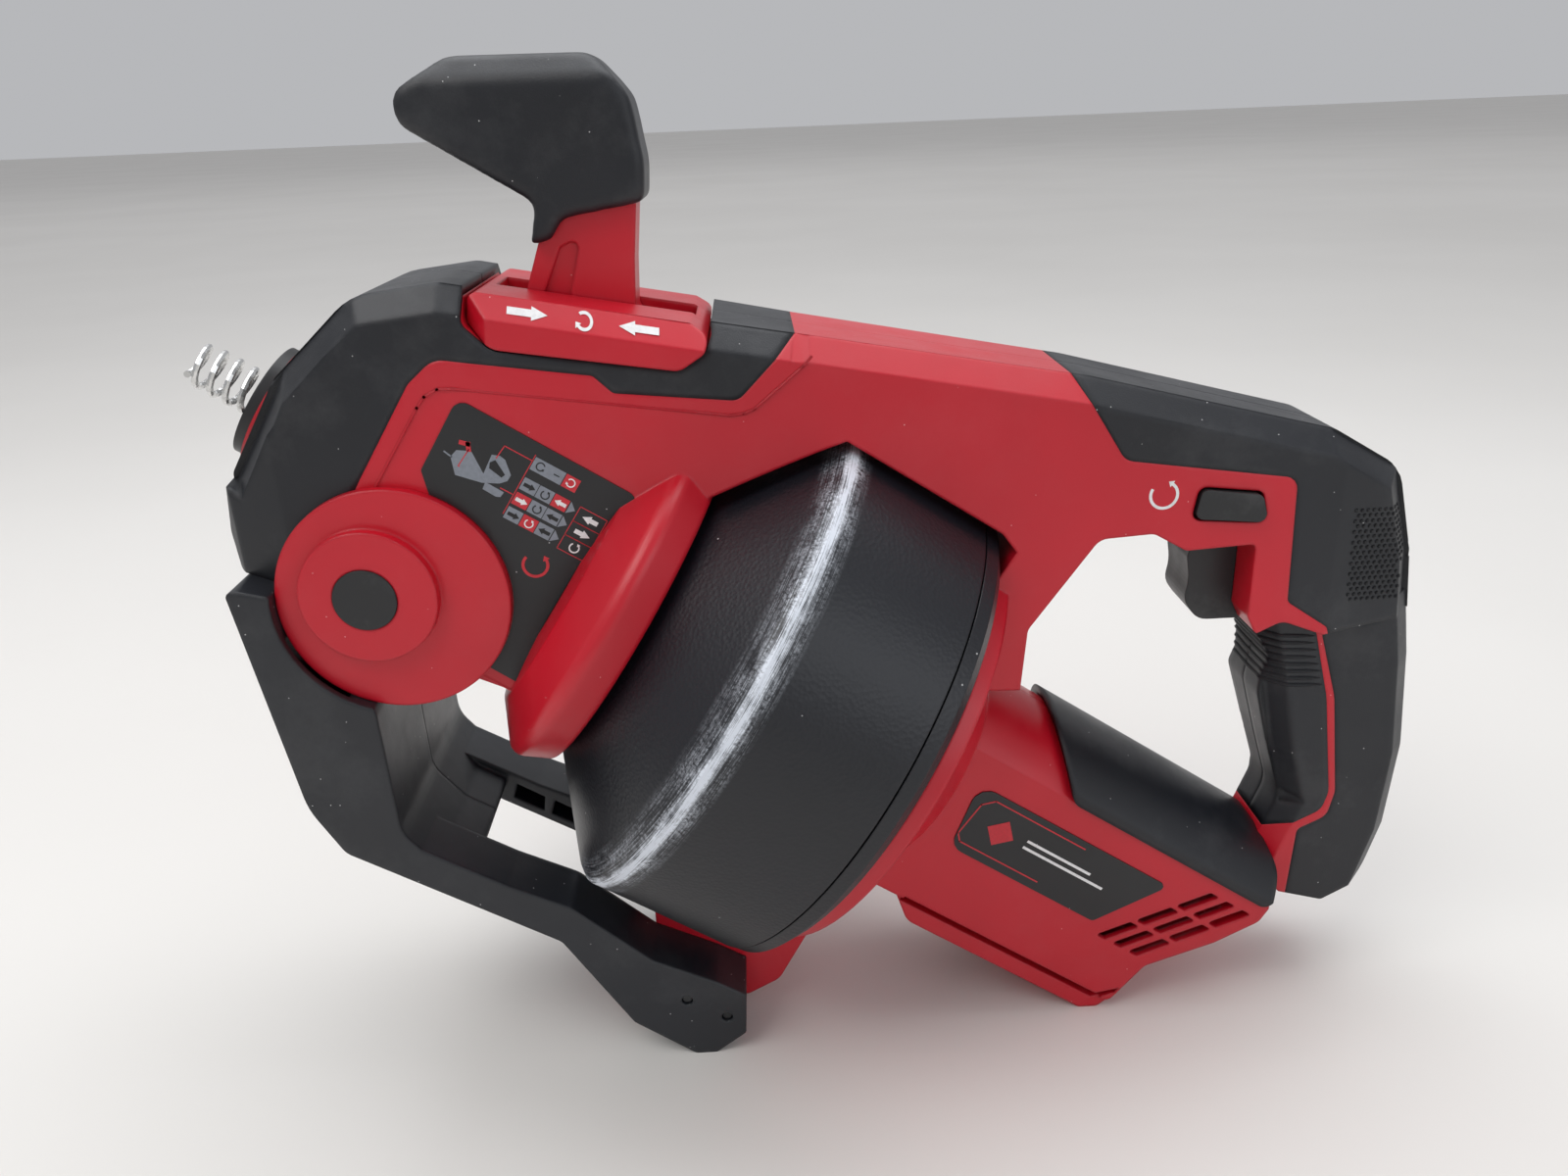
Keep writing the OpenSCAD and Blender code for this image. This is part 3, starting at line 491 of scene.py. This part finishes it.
def stroke(points, width):
    """A line drawn as one quad per stretch."""
    quads = []
    for (x0, y0), (x1, y1) in zip(points, points[1:]):
        length = math.hypot(x1 - x0, y1 - y0)
        ux, uy = (x1 - x0) / length, (y1 - y0) / length
        nx, ny = -uy * width / 2, ux * width / 2
        x0, y0, x1, y1 = x0 - ux * width / 2, y0 - uy * width / 2, x1 + ux * width / 2, y1 + uy * width / 2
        quads.append([(x0 + nx, y0 + ny), (x0 - nx, y0 - ny), (x1 - nx, y1 - ny), (x1 + nx, y1 + ny)])
    return quads


def rect(x0, y0, x1, y1):
    return [(x0, y0), (x1, y0), (x1, y1), (x0, y1)]


def on_label(a, b, lift):
    """The function label's own axes: a along the drum's axis and b above it, from its top corner."""
    x = -125 + a * COS + b * SIN
    z = 262 - a * SIN + b * COS
    y = -(HEAD_HALF - max(0.0, (x + 120) * 4 / 60)) - LABEL_THICK - lift
    return side(x, y, z)


# The label's table of pictograms, in millimetres on the label
CELL_W, CELL_H, CELL_X = 5.6, 4.7, 29.5
ROWS = (-11.5, -17.2, -22.9)
RED_CELLS = ((0, 2), (1, 0), (2, 1))
grey, red, white, black = [], [], [], []
grey.append([(6, -17.5), (6.7, -14.6), (9, -13.4), (19.6, -9.2), (21.6, -9.6), (25.5, -13.3), (25.4, -15.6),
             (23.6, -17.6), (18.6, -20.2), (10, -22.3)])
grey.append([(19.4, -19.4), (26.2, -19.6), (25.9, -21.6), (24.6, -22.2), (19.7, -22)])
grey += stroke([(3.6, -17), (6.3, -17.4)], 0.5)
black.append([(17.7, -12.8), (18.9, -11.2), (20.6, -12.2), (23.8, -14.1), (23.2, -15.5), (18.4, -14.6)])
red += stroke([(6.9, -11.5), (9.0, -10.9), (10.0, -12.4)], 1.5)
red += stroke([(10.0, -12.4), (9.5, -19.0), (27.8, -18.8), (29.0, -18.8)], 0.35)
red += stroke([(18.8, -10.4), (19.3, -5.5), (29.3, -5.5)], 0.35)
red += stroke([(29.2, -3.3), (29.2, -26.2)], 0.3)
grey.append(rect(29.6, -8.4, 40.6, -3.7))
red.append(rect(40.9, -8.4, 46.0, -3.7))
black += turn_arrow(32.4, -6.0, 1.35, 0.4, 30, 290)
black += stroke([(37.4, -6.0), (39.0, -6.0)], 0.4)
white += turn_arrow(43.4, -6.0, 1.35, 0.4, 150, -290)
for row, y in enumerate(ROWS):
    for col in range(3):
        x = CELL_X + 0.2 + col * CELL_W
        is_red = (row, col) in RED_CELLS
        (red if is_red else grey).append(rect(x, y - CELL_H + 0.2, x + CELL_W - 0.25, y))
        sign = white if is_red else black
        cx, cy = x + CELL_W / 2, y - CELL_H / 2
        if col == 1:
            sign += turn_arrow(cx, cy, 1.35, 0.42, 130, 280)
        else:
            sign.append(arrow(cx, cy, 4.2, 2.4, 1.9, 0 if col == 0 else 180))
    grey.append([(46.6, y), (49.1, y - CELL_H / 2), (46.6, y - CELL_H + 0.2)])
for box in range(3):
    y = -11.6 - box * 5.55
    red += stroke([(50.0, y), (60.0, y), (60.0, y - 5.5), (50.0, y - 5.5), (50.0, y)], 0.28)
white.append(arrow(55.0, -14.4, 5.6, 3.0, 2.9, 180))
white.append(arrow(55.0, -19.9, 5.6, 3.0, 2.9, 0))
white += turn_arrow(55.0, -25.5, 1.6, 0.5, 130, 280)
red += turn_arrow(46.7, -37.2, 4.1, 1.0, 165, 250, 1.7)
red += stroke([(50.3, -83.2), (63.2, -83.2)], 0.3)
for name, shapes, mat, thick in (("label_grey", grey, GREY_INK, 0.08), ("label_red", red, RED_INK, 0.10),
                                 ("label_black", black, BLACK_INK, 0.14), ("label_white", white, WHITE_INK, 0.16)):
    flat_piece(name, shapes, on_label, mat, "casing", thick)

# Arrows on the sloped face of the lever gate
GATE_FRONT_X, GATE_FRONT_Z = -119.0, 295.1
GATE_FALL = 13 / 69
GATE_HALF = 37.5
GATE_BEVEL = 7.0


def on_gate(flip):
    def place(a, b, lift):
        x = GATE_FRONT_X + a
        top = GATE_FRONT_Z - a * GATE_FALL
        drop = (GATE_BEVEL / 2 + b) - lift / math.sqrt(2)
        across = GATE_HALF - GATE_BEVEL + (GATE_BEVEL / 2 + b) + lift / math.sqrt(2)
        return side(x, flip * across, top - drop)
    return place


for flip, tag in ((-1, "left"), (1, "right")):
    signs = [arrow(18.5, 0.2, 12.5, 3.9, 5.0, 0), arrow(53.0, 0.2, 12.5, 3.9, 5.0, 180)]
    signs += turn_arrow(36.0, 0.2, 2.3, 0.9, -130, 270, 1.5)
    flat_piece("gate_arrows_" + tag, signs, on_gate(flip), WHITE_INK, "casing")


# Turn arrows by the direction bar, on both sides of the handle
SIGN_X, SIGN_Z = 108.3, 216.0
HANDLE_HALF = 28


def on_handle(flip):
    def place(a, b, lift):
        x = SIGN_X + a
        half = HANDLE_HALF - max(0.0, (x - 110) * 2 / 62) + max(0.0, (110 - x) * 2 / 120)
        return side(x, flip * (half + lift), SIGN_Z + b)
    return place


for flip, tag in ((-1, "left"), (1, "right")):
    flat_piece("turn_sign_" + tag, turn_arrow(0, 0, 4.7, 1.05, 150, 265, 1.6), on_handle(flip), WHITE_INK, "casing")


BORDER = [(-170.6, 220.7), (-163.7, 223.1), (-138.2, 260.4), (-135.4, 263.8), (-131.0, 266.0), (-126.0, 265.9),
          (-38.9, 251.9), (-34.5, 252.2), (-30.9, 253.4), (-14.5, 266.4), (-11.8, 269.4)]


# The casing's raised border beside the soft covering
def on_casing(flip):
    def place(a, b, lift):
        half = HEAD_HALF - max(0.0, min(a + 120, 60.0)) * 4 / 60 - max(0.0, a + 60) * 4 / 50
        return side(a, flip * (half + lift), b)
    return place


for flip, tag in ((-1, "left"), (1, "right")):
    flat_piece("casing_border_" + tag, stroke(BORDER, 0.9), on_casing(flip), RED, "casing", 0.45)


# The plates on the motor casing: a thin frame line and a plain raised diamond
def on_plate(flip):
    return lambda a, b, lift: slant(a, b, flip * (PLATE_HALF + lift))


for flip, tag in ((-1, "left"), (1, "right")):
    lines = stroke([(159.2, 12.2), (117.5, 12.2), (113.5, 8.2), (113.0, -6.4), (115.6, -9.2), (152.0, -9.2)], 0.55)
    flat_piece("plate_frame_" + tag, lines, on_plate(flip), RED_INK, "casing")
    diamond = [(121, 1.5), (127, 7.5), (133, 1.5), (127, -4.5)]
    flat_piece("plate_mark_" + tag, [diamond], on_plate(flip), RED_INK, "casing")
    bars = [rect(138, 0.4 + 3.0 * k, 176 - 8 * k, 1.5 + 3.0 * k) for k in range(2)]
    flat_piece("plate_bars_" + tag, bars, on_plate(flip), WHITE_INK, "casing")


# ---------------------------------------------------------------- stage, light and camera

def floor_material():
    m = Nodes("pale_floor")
    drift = m.ramp(m.noise(1.3, 3.0), 0.3, 0.7)
    m.put(Base_Color=m.mix(drift, (0.70, 0.68, 0.65, 1), (0.74, 0.72, 0.69, 1)), Roughness=0.6)
    return m.mat


mesh = bpy.data.meshes.new("floor")
mesh.from_pydata([(-30, -30, 0), (30, -30, 0), (30, 30, 0), (-30, 30, 0)], [], [(0, 1, 2, 3)])
floor = bpy.data.objects.new("floor", mesh)
bpy.context.scene.collection.objects.link(floor)
mesh.materials.append(floor_material())


def area_light(name, place, aim, size, power, colour=(1, 1, 1)):
    data = bpy.data.lights.new(name, "AREA")
    data.shape = "RECTANGLE"
    data.size, data.size_y = size
    data.energy = power
    data.color = colour
    obj = bpy.data.objects.new(name, data)
    bpy.context.scene.collection.objects.link(obj)
    obj.location = place
    obj.rotation_euler = (Vector(aim) - Vector(place)).to_track_quat("-Z", "Y").to_euler()


TARGET = (0.0, 0.0, 0.17)
area_light("key", (-0.9, -0.7, 1.7), TARGET, (1.2, 0.9), 13, (1.0, 0.98, 0.96))
area_light("fill", (1.3, -1.4, 0.9), TARGET, (1.4, 1.0), 6, (0.93, 0.96, 1.0))
area_light("top", (0.1, 0.35, 1.6), TARGET, (1.8, 0.9), 13, (0.95, 0.97, 1.0))
area_light("room", (0.0, 3.0, 5.0), (0.0, 3.0, 0.0), (9.0, 9.0), 115, (0.97, 0.98, 1.0))

world = bpy.data.worlds.new("studio")
world.use_nodes = True
world.node_tree.nodes["Background"].inputs["Color"].default_value = (0.86, 0.87, 0.90, 1)
world.node_tree.nodes["Background"].inputs["Strength"].default_value = 0.55
bpy.context.scene.world = world

camera_data = bpy.data.cameras.new("camera")
camera_data.lens = 27.04
camera_data.sensor_width = 36
camera_data.clip_start = 0.01
camera = bpy.data.objects.new("camera", camera_data)
bpy.context.scene.collection.objects.link(camera)
right = Vector((0.9987, -0.0331, -0.0388))
upward = Vector((0.0484, 0.3735, 0.9264))
back = Vector((-0.0162, -0.9270, 0.3746))
eye = Vector((ORIGIN_X - 0.0303, -0.4110, 0.3432))
camera.matrix_world = Matrix((
    (right.x, upward.x, back.x, eye.x),
    (right.y, upward.y, back.y, eye.y),
    (right.z, upward.z, back.z, eye.z),
    (0, 0, 0, 1)))
bpy.context.scene.camera = camera
bpy.context.scene.view_settings.view_transform = "Standard"
